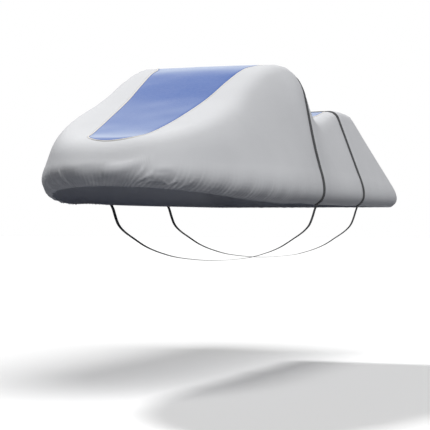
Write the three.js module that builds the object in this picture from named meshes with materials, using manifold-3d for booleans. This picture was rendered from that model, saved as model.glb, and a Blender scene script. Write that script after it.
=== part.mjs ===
// A fitted cover for a personal watercraft. Silver-grey cloth goes over the bow, the handlebars and
// the seat and is drawn in to a gathered hem below the craft's bumper line. A blue centre panel with
// cream piping is let into its top. Two webbing straps cross over it, and from each a tie-down strap
// hangs under the hull. The watercraft is left out, so the cloth is an open shell.
// Millimetres, +Z up, bow towards -Y, port side +X. The origin is under the cloth at the handlebars,
// where the craft carries the cover.
import * as THREE from 'three';
import { mergeVertices } from 'three/addons/utils/BufferGeometryUtils.js';
import Module from 'manifold-3d';

const wasm = await Module();
wasm.setup();

// In the tables below "aft" is the distance from the bow's tip, "out" the distance from the
// centreline, and "up" the height over the hem amidships.
const LENGTH = 3210;
const HALF_BEAM = 616;
const HALF_STERN = 610;
const BOW_LENGTH = 1220;
const STERN_CORNER = 110;
const CREST_AFT = 1470;

const CLOTH = 2;
const WEBBING = 1.5;
const STRAP_WIDTH = 38;
const PIPING_WIDTH = 7;
const GAP = 0.35;

// The top of the cloth along the centreline. The crown is how far it drops 400 mm out from there.
const TOP = [
  { aft: -100, up: 258, crown: 0 },
  { aft: 80, up: 281, crown: 0 },
  { aft: 240, up: 304, crown: 0 },
  { aft: 390, up: 344, crown: 16 },
  { aft: 590, up: 410, crown: 35 },
  { aft: 850, up: 506, crown: 45 },
  { aft: 1080, up: 608, crown: 50 },
  { aft: 1250, up: 676, crown: 43 },
  { aft: 1380, up: 709, crown: 26 },
  { aft: 1470, up: 719, crown: 7 },
  { aft: 1560, up: 688, crown: 5 },
  { aft: 1660, up: 613, crown: 13 },
  { aft: 1780, up: 538, crown: 13 },
  { aft: 1900, up: 496, crown: 8 },
  { aft: 2020, up: 485, crown: 0 },
  { aft: 2150, up: 503, crown: -3 },
  { aft: 2310, up: 535, crown: -5 },
  { aft: 2500, up: 544, crown: -3 },
  { aft: 2650, up: 540, crown: 0 },
  { aft: 2800, up: 523, crown: 0 },
  { aft: 3000, up: 493, crown: 0 },
];

// The shoulder, where the top turns down into the side: its place and how far the turn reaches.
const SHOULDER = [
  { aft: 720, out: 452, turn: 85 },
  { aft: 970, out: 448, turn: 110 },
  { aft: 1200, out: 448, turn: 120 },
  { aft: 1360, out: 452, turn: 130 },
  { aft: 1480, out: 460, turn: 125 },
  { aft: 1620, out: 452, turn: 120 },
  { aft: 1900, out: 445, turn: 100 },
  { aft: 2310, out: 440, turn: 60 },
  { aft: 2600, out: 430, turn: 55 },
];
const SHOULDER_BOW = { tip: 100, length: 620, fullness: 2.2 };
const SHOULDER_STERN = { aft: 2735, corner: 130 };

// The heights of the widest line and of the hem below it.
const EDGE = [
  { aft: 0, widest: 118, hem: 71 },
  { aft: 130, widest: 116, hem: 62 },
  { aft: 300, widest: 112, hem: 47 },
  { aft: 550, widest: 105, hem: 23 },
  { aft: 900, widest: 93, hem: 3 },
  { aft: 1200, widest: 86, hem: 6 },
  { aft: 1450, widest: 81, hem: 2 },
  { aft: 2000, widest: 78, hem: 0 },
  { aft: 2500, widest: 75, hem: 0 },
  { aft: 3210, widest: 70, hem: 0 },
];
const HEM_INSET = 50;

// How far the turn at the widest line reaches up the side, and down as a share of the tuck.
const EDGE_TURN = { up: 110, down: 0.55 };

// Gathers that the hem's elastic draws into the cloth, deepest at the bow. The straps press them flat.
const GATHERS = [
  { aft: 0, depth: 5 },
  { aft: 400, depth: 4.5 },
  { aft: 1000, depth: 3.5 },
  { aft: 1350, depth: 1.5 },
  { aft: 1440, depth: 0 },
  { aft: 2450, depth: 0 },
  { aft: 2800, depth: 1.5 },
  { aft: 3210, depth: 3 },
];
const GATHER_PITCH = 165;
const GATHER_LEAN = 0.5;

// Half the width of the blue panel, which has a round tip at the nose and a round end on the seat.
const PANEL = [
  { aft: 118, out: 122 },
  { aft: 240, out: 126 },
  { aft: 390, out: 146 },
  { aft: 590, out: 170 },
  { aft: 850, out: 194 },
  { aft: 1080, out: 214 },
  { aft: 1250, out: 232 },
  { aft: 1350, out: 245 },
  { aft: 1450, out: 287 },
  { aft: 1700, out: 330 },
  { aft: 2100, out: 370 },
  { aft: 2400, out: 385 },
  { aft: 2660, out: 385 },
];
const PANEL_TIP = { aft: 118, length: 125 };
const PANEL_END = { aft: 2660, length: 140 };

// The tie-down straps' hanging route on the port side, from the hem to the lowest point.
const BELLY = [
  { out: 559, up: -22 },
  { out: 545, up: -66 },
  { out: 527, up: -106 },
  { out: 494, up: -140 },
  { out: 444, up: -174 },
  { out: 372, up: -218 },
  { out: 290, up: -250 },
  { out: 180, up: -276 },
  { out: 0, up: -289 },
];
const STRAPS = [
  { name: 'front', aft: 1484 },
  { name: 'rear', aft: 2306 },
];

// The smooth curve through one column of a table, at a distance aft.
function along(table, column, aft) {
  const last = table.length - 1;
  const at = THREE.MathUtils.clamp(aft, table[0].aft, table[last].aft);
  let i = 0;
  while (i < last - 1 && table[i + 1].aft < at) i += 1;
  const slope = (k) => {
    const before = table[Math.max(k - 1, 0)];
    const after = table[Math.min(k + 1, last)];
    return (after[column] - before[column]) / (after.aft - before.aft);
  };
  const span = table[i + 1].aft - table[i].aft;
  const t = (at - table[i].aft) / span;
  const rise = t * t * (3 - 2 * t);
  return table[i][column] * (1 - rise) + table[i + 1][column] * rise
    + span * t * (1 - t) * (slope(i) * (1 - t) - slope(i + 1) * t);
}

function topHeight(out, aft) {
  return along(TOP, 'up', aft) - along(TOP, 'crown', aft) * (out / 400) ** 2;
}

function widestOut(aft) {
  if (aft < BOW_LENGTH) return HALF_BEAM * Math.sqrt(1 - (1 - aft / BOW_LENGTH) ** 2);
  return THREE.MathUtils.lerp(HALF_BEAM, HALF_STERN, THREE.MathUtils.smoothstep(aft, BOW_LENGTH, LENGTH));
}

function shoulderOut(aft) {
  const { tip, length, fullness } = SHOULDER_BOW;
  const ahead = THREE.MathUtils.clamp(1 - (aft - tip) / length, 0, 1);
  return along(SHOULDER, 'out', aft) * (1 - ahead ** fullness) ** (1 / fullness);
}

// Cross sections stand round half the boat in five stretches: bow, side, quarter, stern corner and
// transom. A section's place s is its stretch's number plus the share of that stretch before it.
const [BOW, SIDE, QUARTER, CORNER] = [0, 1, 2, 3];
const SECTIONS = [14, 18, 4, 3, 2];
const STERN_MIDDLE = SECTIONS.length;
const QUARTER_AFT = 2500;

// Where section s meets a plan outline whose straight side ends in a round corner and a transom.
function sternRail(stretch, u, halfWidth, end, corner) {
  const wide = halfWidth(end - corner);
  if (stretch === QUARTER) {
    const aft = THREE.MathUtils.lerp(QUARTER_AFT, end - corner, u);
    return new THREE.Vector2(halfWidth(aft), aft);
  }
  if (stretch === CORNER) {
    const round = new THREE.Vector2(Math.cos(u * Math.PI / 2), Math.sin(u * Math.PI / 2));
    return new THREE.Vector2(wide - corner, end - corner).addScaledVector(round, corner);
  }
  return new THREE.Vector2((wide - corner) * (1 - u), end);
}

// The plan points of section s on the widest line and on the shoulder.
function rails(s) {
  const stretch = Math.min(Math.floor(s), SECTIONS.length - 1);
  const u = s - stretch;
  if (stretch === BOW) {
    const share = 1 - Math.cos(u * Math.PI / 2);
    const shoulderAft = THREE.MathUtils.lerp(SHOULDER_BOW.tip, BOW_LENGTH, share);
    return {
      widest: new THREE.Vector2(widestOut(BOW_LENGTH * share), BOW_LENGTH * share),
      shoulder: new THREE.Vector2(shoulderOut(shoulderAft), shoulderAft),
    };
  }
  if (stretch === SIDE) {
    const aft = THREE.MathUtils.lerp(BOW_LENGTH, QUARTER_AFT, u);
    return {
      widest: new THREE.Vector2(widestOut(aft), aft),
      shoulder: new THREE.Vector2(shoulderOut(aft), aft),
    };
  }
  return {
    widest: sternRail(stretch, u, widestOut, LENGTH, STERN_CORNER),
    shoulder: sternRail(stretch, u, shoulderOut, SHOULDER_STERN.aft, SHOULDER_STERN.corner),
  };
}

// Where section s starts on the centreline. At bow and stern the sections fan out from a short
// stretch of it, and between those they run straight across.
const FAN = { fore: 420, rear: 2380, blend: 120 };
function spineAft(aft) {
  const soft = (x) => FAN.blend * Math.log1p(Math.exp(x / FAN.blend));
  return FAN.rear - soft(FAN.rear - FAN.fore - soft(aft - FAN.fore));
}

const horizontal = (point, up) => new THREE.Vector3(point.x, point.y, up);
const towards = (from, to, reach) => from.clone().addScaledVector(to.clone().sub(from).normalize(), reach);
function bend(start, corner, end, t) {
  return new THREE.QuadraticBezierCurve3(start, corner, end).getPoint(t);
}

const NEAR = 1e-4;
const MOST_OF_TOP = 0.6;

// The corners of section s: spine, shoulder, widest line and hem, and where each turn starts and ends.
function section(s) {
  const { widest, shoulder } = rails(s);
  const before = rails(Math.max(s - NEAR, 0)).widest;
  const run = rails(Math.min(s + NEAR, STERN_MIDDLE)).widest.sub(before).normalize();
  const inward = new THREE.Vector3(-run.y, run.x, 0);
  if (s === 0) inward.set(0, 1, 0);
  if (s === STERN_MIDDLE) inward.set(0, -1, 0);

  const spine = new THREE.Vector2(0, spineAft(shoulder.y));
  const turn = along(SHOULDER, 'turn', shoulder.y);
  const reach = Math.min(turn, MOST_OF_TOP * shoulder.distanceTo(spine));
  const lip = shoulder.clone().addScaledVector(spine.clone().sub(shoulder).normalize(), reach);
  const corner = horizontal(shoulder, topHeight(shoulder.x, shoulder.y));
  const edge = horizontal(widest, along(EDGE, 'widest', widest.y));
  const hem = edge.clone().addScaledVector(inward, HEM_INSET).setZ(along(EDGE, 'hem', widest.y));
  const halfSide = corner.distanceTo(edge) / 2;
  return {
    spine, lip, corner, edge, hem, inward, aft: widest.y,
    shoulderStart: horizontal(lip, topHeight(lip.x, lip.y)),
    shoulderEnd: towards(corner, edge, Math.min(turn, halfSide)),
    edgeStart: towards(edge, corner, Math.min(EDGE_TURN.up, halfSide)),
    edgeEnd: edge.clone().lerp(hem, EDGE_TURN.down),
  };
}

// Distance round the widest line from the bow, for spacing the gathers.
const ROUND_STEPS = 60;
const roundTable = [0];
for (let k = 1; k <= STERN_MIDDLE * ROUND_STEPS; k += 1) {
  const piece = rails(k / ROUND_STEPS).widest.distanceTo(rails((k - 1) / ROUND_STEPS).widest);
  roundTable.push(roundTable[k - 1] + piece);
}
function distanceRound(s) {
  const k = Math.min(Math.floor(s * ROUND_STEPS), roundTable.length - 2);
  return THREE.MathUtils.lerp(roundTable[k], roundTable[k + 1], s * ROUND_STEPS - k);
}

// A point of the cloth's outer face. Row 0 to 1 is the top, 1 to 2 the shoulder's turn, 2 to 3 the
// side, 3 to 4 the turn at the widest line and 4 to 5 the tuck down to the hem.
const ROWS = 5;
function clothPoint(s, row) {
  const c = section(s);
  if (row <= 1) {
    const plan = c.spine.clone().lerp(c.lip, row);
    return horizontal(plan, topHeight(plan.x, plan.y));
  }
  if (row <= 2) return bend(c.shoulderStart, c.corner, c.shoulderEnd, row - 1);
  if (row <= 3) return c.shoulderEnd.clone().lerp(c.edgeStart, row - 2);
  const point = row <= 4
    ? bend(c.edgeStart, c.edge, c.edgeEnd, row - 3)
    : c.edgeEnd.clone().lerp(c.hem, row - 4);
  const pull = (row - 3) / 2;
  const wave = Math.sin(2 * Math.PI * (distanceRound(s) / GATHER_PITCH + GATHER_LEAN * pull));
  return point.addScaledVector(c.inward, along(GATHERS, 'depth', c.aft) * pull * wave);
}

// A ring of cloth points right round the boat, port side from bow to stern and back to starboard.
function ring(row, perSection) {
  const port = [];
  SECTIONS.forEach((sections, stretch) => {
    const steps = sections * perSection;
    for (let k = 0; k < steps; k += 1) port.push(clothPoint(stretch + k / steps, row));
  });
  const stern = clothPoint(STERN_MIDDLE, row);
  const mirrored = port.slice(1).reverse().map((p) => new THREE.Vector3(-p.x, p.y, p.z));
  return [...port, stern, ...mirrored];
}

// Triangles between two rings, the lower with a whole number of points to each one of the upper.
function joinRings(upper, lower, triangles) {
  const times = lower.length / upper.length;
  const middle = Math.ceil(times / 2);
  for (let i = 0; i < upper.length; i += 1) {
    const a = upper[i];
    const b = upper[(i + 1) % upper.length];
    const low = (k) => lower[(i * times + k) % lower.length];
    for (let k = 0; k < middle; k += 1) triangles.push([a, low(k), low(k + 1)]);
    triangles.push([a, low(middle), b]);
    for (let k = middle; k < times; k += 1) triangles.push([b, low(k), low(k + 1)]);
  }
}

// The open sheet of the cloth's outer face, with finer columns below the side for the gathers.
const COARSE_ROWS = [0, 0.5, 1, 1.33, 1.67, 2, 2.5, 3];
const FINE_ROWS = [3.5, 4, ROWS];
function clothSheet() {
  const rings = [...COARSE_ROWS.map((row) => ring(row, 1)), ...FINE_ROWS.map((row) => ring(row, 2))];
  const triangles = [];
  for (let i = 1; i < rings.length; i += 1) joinRings(rings[i - 1], rings[i], triangles);
  const corners = triangles.flat().flatMap((p) => [p.x, p.y, p.z]);
  const sheet = new THREE.BufferGeometry();
  sheet.setAttribute('position', new THREE.Float32BufferAttribute(corners, 3));
  const merged = mergeVertices(sheet, 1e-3);
  merged.setIndex(withoutSlivers([...merged.index.array]));
  merged.computeVertexNormals();
  return merged;
}

function withoutSlivers(index) {
  const kept = [];
  for (let i = 0; i < index.length; i += 3) {
    const [a, b, c] = index.slice(i, i + 3);
    if (a !== b && b !== c && c !== a) kept.push(a, b, c);
  }
  return kept;
}

// A closed layer of cloth that lies between two distances off the sheet, measured outwards.
function layer(sheet, inner, outer) {
  const position = sheet.attributes.position;
  const normal = sheet.attributes.normal;
  const count = position.count;
  const points = [];
  for (const off of [outer, inner]) {
    for (let i = 0; i < count; i += 1) {
      const p = new THREE.Vector3().fromBufferAttribute(position, i);
      p.addScaledVector(new THREE.Vector3().fromBufferAttribute(normal, i), off);
      points.push(p.x, p.y, p.z);
    }
  }
  const index = sheet.index.array;
  const faces = [];
  const loose = new Map();
  for (let i = 0; i < index.length; i += 3) {
    const face = [index[i], index[i + 1], index[i + 2]];
    faces.push(...face, face[0] + count, face[2] + count, face[1] + count);
    for (let k = 0; k < 3; k += 1) {
      const a = face[k];
      const b = face[(k + 1) % 3];
      if (!loose.delete(`${b} ${a}`)) loose.set(`${a} ${b}`, [a, b]);
    }
  }
  for (const [a, b] of loose.values()) faces.push(b, a, a + count, b, a + count, b + count);
  const solid = new THREE.BufferGeometry();
  solid.setAttribute('position', new THREE.Float32BufferAttribute(points, 3));
  solid.setIndex(faces);
  return solid;
}

function toManifold(geometry) {
  const bare = geometry.clone();
  bare.deleteAttribute('normal');
  bare.deleteAttribute('uv');
  const merged = mergeVertices(bare, 1e-4);
  return new wasm.Manifold(new wasm.Mesh({
    numProp: 3,
    vertProperties: new Float32Array(merged.attributes.position.array),
    triVerts: new Uint32Array(merged.index.array),
  }));
}

function toGeometry(manifold) {
  const { vertProperties, triVerts } = manifold.getMesh();
  const geometry = new THREE.BufferGeometry();
  geometry.setAttribute('position', new THREE.BufferAttribute(vertProperties, 3));
  geometry.setIndex(new THREE.BufferAttribute(triVerts, 1));
  geometry.computeVertexNormals();
  return geometry;
}

function panelOut(aft) {
  const tip = THREE.MathUtils.clamp(1 - (aft - PANEL_TIP.aft) / PANEL_TIP.length, 0, 1);
  const end = THREE.MathUtils.clamp(1 - (PANEL_END.aft - aft) / PANEL_END.length, 0, 1);
  return along(PANEL, 'out', aft) * Math.sqrt(1 - tip ** 2) * Math.sqrt(1 - end ** 2);
}

// An upright prism over the panel's plan outline, grown by a distance all round.
const PRISM_HEIGHT = 1200;
const ROUND_END_STEPS = 5;
const PANEL_SIDE_STEPS = 16;
function panelPrism(grow) {
  const afts = [];
  for (let k = 0; k < ROUND_END_STEPS; k += 1) {
    afts.push(PANEL_TIP.aft + PANEL_TIP.length * (1 - Math.cos(k / ROUND_END_STEPS * Math.PI / 2)));
  }
  const sideStart = PANEL_TIP.aft + PANEL_TIP.length;
  const sideEnd = PANEL_END.aft - PANEL_END.length;
  for (let k = 0; k <= PANEL_SIDE_STEPS; k += 1) {
    afts.push(THREE.MathUtils.lerp(sideStart, sideEnd, k / PANEL_SIDE_STEPS));
  }
  for (let k = 1; k <= ROUND_END_STEPS; k += 1) {
    afts.push(sideEnd + PANEL_END.length * Math.sin(k / ROUND_END_STEPS * Math.PI / 2));
  }
  const port = afts.map((aft) => new THREE.Vector2(panelOut(aft), aft));
  const loop = [...port, ...port.slice(1, -1).reverse().map((p) => new THREE.Vector2(-p.x, p.y))];
  const outline = new THREE.Shape(loop.map((p, i) => {
    const before = loop[(i + loop.length - 1) % loop.length];
    const run = loop[(i + 1) % loop.length].clone().sub(before).normalize();
    return p.clone().add(new THREE.Vector2(run.y, -run.x).multiplyScalar(grow));
  }));
  return toManifold(new THREE.ExtrudeGeometry(outline, { depth: PRISM_HEIGHT, bevelEnabled: false }));
}

const sheet = clothSheet();
const cloth = toManifold(layer(sheet, -CLOTH, 0));

function coverBody() {
  return toGeometry(cloth.subtract(panelPrism(PIPING_WIDTH / 2 + GAP)));
}

function centrePanel() {
  return toGeometry(cloth.intersect(panelPrism(-PIPING_WIDTH / 2 - GAP)));
}

function panelPiping() {
  return toGeometry(cloth.intersect(panelPrism(PIPING_WIDTH / 2)).subtract(panelPrism(-PIPING_WIDTH / 2)));
}

// A strap lies on the cloth from hem to hem, so it is a band across a layer just off the cloth.
const webbingLayer = toManifold(layer(sheet, GAP, GAP + WEBBING));
function overStrap(aft) {
  const band = new THREE.BoxGeometry(4 * HALF_BEAM, STRAP_WIDTH, 2 * PRISM_HEIGHT);
  band.translate(0, aft, 0);
  return toGeometry(webbingLayer.intersect(toManifold(band)));
}

// A tie-down strap starts on the strap over the tuck, follows the tuck, and hangs from there.
const ON_TUCK = [0.55, 0.75, 0.95];
const BELLY_STEPS = 36;
function bellyStrap(aft) {
  const { edge, hem } = section(SIDE + (aft - BOW_LENGTH) / (QUARTER_AFT - BOW_LENGTH));
  const tuck = new THREE.Vector2(hem.x - edge.x, hem.z - edge.z);
  const off = new THREE.Vector2(-tuck.y, tuck.x).normalize().multiplyScalar(2 * GAP + 1.5 * WEBBING);
  const sewn = ON_TUCK.map((t) => new THREE.Vector2(edge.x, edge.z).addScaledVector(tuck, t).add(off));
  const port = [...sewn, ...BELLY.map(({ out, up }) => new THREE.Vector2(out, up))];
  const starboard = port.slice(0, -1).reverse().map((p) => new THREE.Vector2(-p.x, p.y));
  const route = new THREE.SplineCurve([...port, ...starboard]).getSpacedPoints(BELLY_STEPS);

  const faces = [1, -1].map((side) => route.map((p, i) => {
    const run = route[Math.min(i + 1, route.length - 1)].clone().sub(route[Math.max(i - 1, 0)]).normalize();
    return p.clone().add(new THREE.Vector2(-run.y, run.x).multiplyScalar(side * WEBBING / 2));
  }));
  const outline = new THREE.Shape([...faces[0], ...faces[1].reverse()]);
  const strap = new THREE.ExtrudeGeometry(outline, { depth: STRAP_WIDTH, bevelEnabled: false });
  strap.rotateX(Math.PI / 2);
  strap.translate(0, aft + STRAP_WIDTH / 2, 0);
  return strap;
}

const GREY_CLOTH = new THREE.MeshStandardMaterial({ color: 0xb9bbbf, roughness: 0.62, metalness: 0 });
const BLUE_CLOTH = new THREE.MeshStandardMaterial({ color: 0x7592cc, roughness: 0.6, metalness: 0 });
const CREAM_PIPING = new THREE.MeshStandardMaterial({ color: 0xe9e3d6, roughness: 0.7, metalness: 0 });
const DARK_WEBBING = new THREE.MeshStandardMaterial({ color: 0x4a4c4e, roughness: 0.8, metalness: 0 });

const boat = new THREE.Group();
boat.position.set(0, -CREST_AFT, CLOTH - topHeight(0, CREST_AFT));
function place(name, geometry, material) {
  const mesh = new THREE.Mesh(geometry, material);
  mesh.name = name;
  boat.add(mesh);
}
place('cover_body', coverBody(), GREY_CLOTH);
place('centre_panel', centrePanel(), BLUE_CLOTH);
place('panel_piping', panelPiping(), CREAM_PIPING);
for (const { name, aft } of STRAPS) {
  place(`strap_${name}`, overStrap(aft), DARK_WEBBING);
  place(`belly_strap_${name}`, bellyStrap(aft), DARK_WEBBING);
}

const cover = new THREE.Group();
cover.add(boat);
export default cover;
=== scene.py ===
import math

import bmesh
import bpy
import mathutils
import numpy as np
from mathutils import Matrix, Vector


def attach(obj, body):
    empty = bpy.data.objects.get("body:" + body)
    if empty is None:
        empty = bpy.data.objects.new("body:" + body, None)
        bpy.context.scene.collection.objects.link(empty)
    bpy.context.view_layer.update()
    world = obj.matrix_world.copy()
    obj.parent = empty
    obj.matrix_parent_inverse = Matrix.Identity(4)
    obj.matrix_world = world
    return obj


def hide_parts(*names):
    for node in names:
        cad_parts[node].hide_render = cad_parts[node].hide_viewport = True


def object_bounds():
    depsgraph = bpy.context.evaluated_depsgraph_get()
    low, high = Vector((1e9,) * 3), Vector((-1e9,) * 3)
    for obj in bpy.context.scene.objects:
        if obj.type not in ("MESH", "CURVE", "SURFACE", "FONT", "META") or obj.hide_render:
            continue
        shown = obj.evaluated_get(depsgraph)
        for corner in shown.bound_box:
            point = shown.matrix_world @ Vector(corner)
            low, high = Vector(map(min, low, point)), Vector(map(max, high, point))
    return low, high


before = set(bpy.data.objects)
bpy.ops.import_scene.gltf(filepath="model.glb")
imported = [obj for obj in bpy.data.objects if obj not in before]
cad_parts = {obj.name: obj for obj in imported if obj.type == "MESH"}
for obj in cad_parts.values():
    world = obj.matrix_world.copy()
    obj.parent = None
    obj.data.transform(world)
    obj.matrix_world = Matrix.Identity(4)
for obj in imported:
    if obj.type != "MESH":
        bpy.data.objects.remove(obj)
cad_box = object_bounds()


# ---- Camera -------------------------------------------------------------------------------------
# It stands low, a little under the hem, ahead of the bow and to port, with a long lens.

CAMERA_AT = (2.82, -7.77, -0.7945)
CAMERA_TURN = math.radians(19.8)
CAMERA_TILT = math.radians(90.18)
LENS_MM = 132.8
SENSOR_MM = 36

camera = bpy.data.objects.new("camera", bpy.data.cameras.new("camera"))
bpy.context.scene.collection.objects.link(camera)
camera.location = CAMERA_AT
camera.rotation_euler = (CAMERA_TILT, 0, CAMERA_TURN)
camera.data.lens = LENS_MM
camera.data.sensor_width = SENSOR_MM
bpy.context.scene.camera = camera


# ---- Grey cloth ---------------------------------------------------------------------------------
# Silver-grey coated polyester over bow, hood, sides, seat and stern, cut and sewn to the craft's
# shape. Its edge turns in under the bumper line to a casing whose elastic gathers it. "Aft" is
# the distance from the bow's tip, "out" from the centreline and "up" over the hem amidships.

LENGTH = 3.210
HALF_BEAM = 0.616
HALF_STERN = 0.610
BOW_LENGTH = 1.220
STERN_CORNER = 0.110
QUARTER_AFT = 2.500
CREST_AFT = 1.470
CLOTH = 0.002
HEM_INSET = 0.050

# The crown from .390 to 1.470 aft, and the first five values of the shoulder's out, top_turn and
# side_turn, are the rounded result of a numeric fit and weren't chosen by hand.
TOP = {
    "aft": (-.100, .080, .240, .390, .590, .850, 1.080, 1.250, 1.380, 1.470, 1.560,
            1.660, 1.780, 1.900, 2.020, 2.150, 2.310, 2.500, 2.650, 2.800, 3.000),
    "up": (.258, .281, .304, .344, .410, .506, .608, .676, .709, .719, .688,
           .610, .534, .491, .479, .497, .529, .538, .534, .518, .490),
    "crown": (0, 0, 0, -.003, -.002, .003, .008, .008, .008, .001, -.006,
              .008, .012, .008, 0, -.003, -.005, -.003, 0, 0, 0),
}
CROWN_OUT = 0.400
SHOULDER = {
    "aft": (.720, .970, 1.200, 1.360, 1.480, 1.620, 1.900, 2.310, 2.600),
    "out": (.421, .397, .397, .414, .444, .450, .445, .440, .430),
    "top_turn": (.089, .068, .060, .079, .091, .126, .090, .048, .045),
    "side_turn": (.193, .256, .254, .262, .150, .126, .090, .048, .045),
}
SHOULDER_TIP = 0.100
SHOULDER_BOW = 0.620
SHOULDER_FULLNESS = 2.1
SHOULDER_END = 2.735
SHOULDER_CORNER = 0.130
EDGE = {
    "aft": (0, .130, .300, .550, .900, 1.200, 1.450, 2.000, 2.500, 3.210),
    "widest": (.139, .131, .121, .109, .094, .086, .081, .078, .075, .070),
    "hem": (.071, .062, .047, .023, .003, .006, .002, 0, 0, 0),
    "turn": (.045, .048, .055, .070, .090, .105, .110, .110, .110, .110),
    "fullness": (.003, .004, .010, .014, .014, .014, .012, .011, .012, .012),
}
EDGE_TURN_DOWN = 0.55
GATHERS = {
    "aft": (0, .400, 1.000, 1.350, 1.440, 2.450, 2.800, 3.210),
    "depth": (.005, .0045, .0035, .0015, 0, 0, .0015, .003),
}
GATHER_PITCH = 0.165
GATHER_LEAN = 0.5
FAN_FORE = 0.420
FAN_REAR = 2.380
FAN_BLEND = 0.120
MOST_OF_TOP = 0.6
BOW, SIDE, QUARTER, CORNER, TRANSOM = range(5)
STERN_MIDDLE = 5
HEM_ROW = 5
ROUND_STEPS = 300
HEIGHT_ROWS = 260
SEAM_HALVINGS = 36

# The blue panel's seam, which is the grey cloth's upper edge.
PANEL = {
    "aft": (.118, .240, .390, .590, .850, 1.080, 1.250, 1.350, 1.450, 1.700, 2.100, 2.400, 2.660),
    "out": (.124, .137, .160, .184, .208, .227, .243, .253, .287, .330, .370, .385, .385),
}
PANEL_TIP = 0.118
PANEL_TIP_ROUND = 0.125
PANEL_END = 2.660
PANEL_END_ROUND = 0.140


def along(table, column, at):
    """The smooth curve through one column of a table, read at places in its first column."""
    knots = np.array(next(iter(table.values())), float)
    values = np.array(table[column], float)
    last = len(knots) - 1
    k = np.arange(last + 1)
    before, after = np.maximum(k - 1, 0), np.minimum(k + 1, last)
    slope = (values[after] - values[before]) / (knots[after] - knots[before])
    at = np.clip(at, knots[0], knots[last])
    i = np.clip(np.searchsorted(knots, at) - 1, 0, last - 1)
    span = knots[i + 1] - knots[i]
    t = (at - knots[i]) / span
    rise = t * t * (3 - 2 * t)
    bend = span * t * (1 - t) * (slope[i] * (1 - t) - slope[i + 1] * t)
    return values[i] * (1 - rise) + values[i + 1] * rise + bend


def smooth(low, high, x):
    t = np.clip((x - low) / (high - low), 0, 1)
    return t * t * (3 - 2 * t)


def unit(v):
    return v / np.maximum(np.linalg.norm(v, axis=-1, keepdims=True), 1e-12)


def top_height(out, aft):
    return along(TOP, "up", aft) - along(TOP, "crown", aft) * (out / CROWN_OUT) ** 2


def widest_out(aft):
    bow = HALF_BEAM * np.sqrt(np.clip(1 - (1 - aft / BOW_LENGTH) ** 2, 0, 1))
    side = HALF_BEAM + (HALF_STERN - HALF_BEAM) * smooth(BOW_LENGTH, LENGTH, aft)
    return np.where(aft < BOW_LENGTH, bow, side)


def shoulder_out(aft):
    ahead = np.clip(1 - (aft - SHOULDER_TIP) / SHOULDER_BOW, 0, 1)
    return along(SHOULDER, "out", aft) * (1 - ahead ** SHOULDER_FULLNESS) ** (1 / SHOULDER_FULLNESS)


def panel_out(aft):
    tip = np.clip(1 - (aft - PANEL_TIP) / PANEL_TIP_ROUND, 0, 1)
    end = np.clip(1 - (PANEL_END - aft) / PANEL_END_ROUND, 0, 1)
    return along(PANEL, "out", aft) * np.sqrt(1 - tip ** 2) * np.sqrt(1 - end ** 2)


def plan(out, aft):
    return np.stack(np.broadcast_arrays(out, aft), -1)


def raised(point, up):
    return np.concatenate([point, np.broadcast_to(up, point.shape[:-1])[..., None]], -1)


def stern_rail(stretch, u, half_width, end, corner):
    """The plan outline's last part: a straight side, a round corner and half the transom."""
    wide = half_width(np.array(end - corner))
    aft = QUARTER_AFT + (end - corner - QUARTER_AFT) * u
    angle = u * math.pi / 2
    side = plan(half_width(aft), aft)
    round_corner = plan(wide - corner + corner * np.cos(angle), end - corner + corner * np.sin(angle))
    across = plan((wide - corner) * (1 - u), end)
    kinds = [(stretch == QUARTER)[..., None], (stretch == CORNER)[..., None]]
    return np.select(kinds, [side, round_corner], across)


def rails(s):
    """The plan points of sections s on the widest line and on the shoulder. A section's place s
    is its stretch's number plus the share of that stretch before it."""
    stretch = np.minimum(np.floor(s), TRANSOM)
    u = s - stretch
    share = 1 - np.cos(u * math.pi / 2)
    side_aft = BOW_LENGTH + (QUARTER_AFT - BOW_LENGTH) * u
    widest_aft = np.where(stretch == BOW, BOW_LENGTH * share, side_aft)
    shoulder_aft = np.where(stretch == BOW, SHOULDER_TIP + (BOW_LENGTH - SHOULDER_TIP) * share, side_aft)
    astern = (stretch >= QUARTER)[..., None]
    widest = np.where(astern, stern_rail(stretch, u, widest_out, LENGTH, STERN_CORNER),
                      plan(widest_out(widest_aft), widest_aft))
    shoulder = np.where(astern, stern_rail(stretch, u, shoulder_out, SHOULDER_END, SHOULDER_CORNER),
                        plan(shoulder_out(shoulder_aft), shoulder_aft))
    return widest, shoulder


def spine_aft(aft):
    """Where a section starts on the centreline: sections fan out at bow and stern."""
    def soft(x):
        return FAN_BLEND * np.log1p(np.exp(x / FAN_BLEND))
    return FAN_REAR - soft(FAN_REAR - FAN_FORE - soft(aft - FAN_FORE))


def run_length(line):
    """The distance along a line of points, from its first to each of them."""
    return np.append(0, np.cumsum(np.linalg.norm(np.diff(line, axis=0), axis=1)))


round_places = np.linspace(0, STERN_MIDDLE, STERN_MIDDLE * ROUND_STEPS + 1)
round_lengths = run_length(rails(round_places)[0])
HALF_ROUND = round_lengths[-1]


def bezier(start, corner, end, t):
    return start * (1 - t) ** 2 + corner * 2 * t * (1 - t) + end * t ** 2


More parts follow.
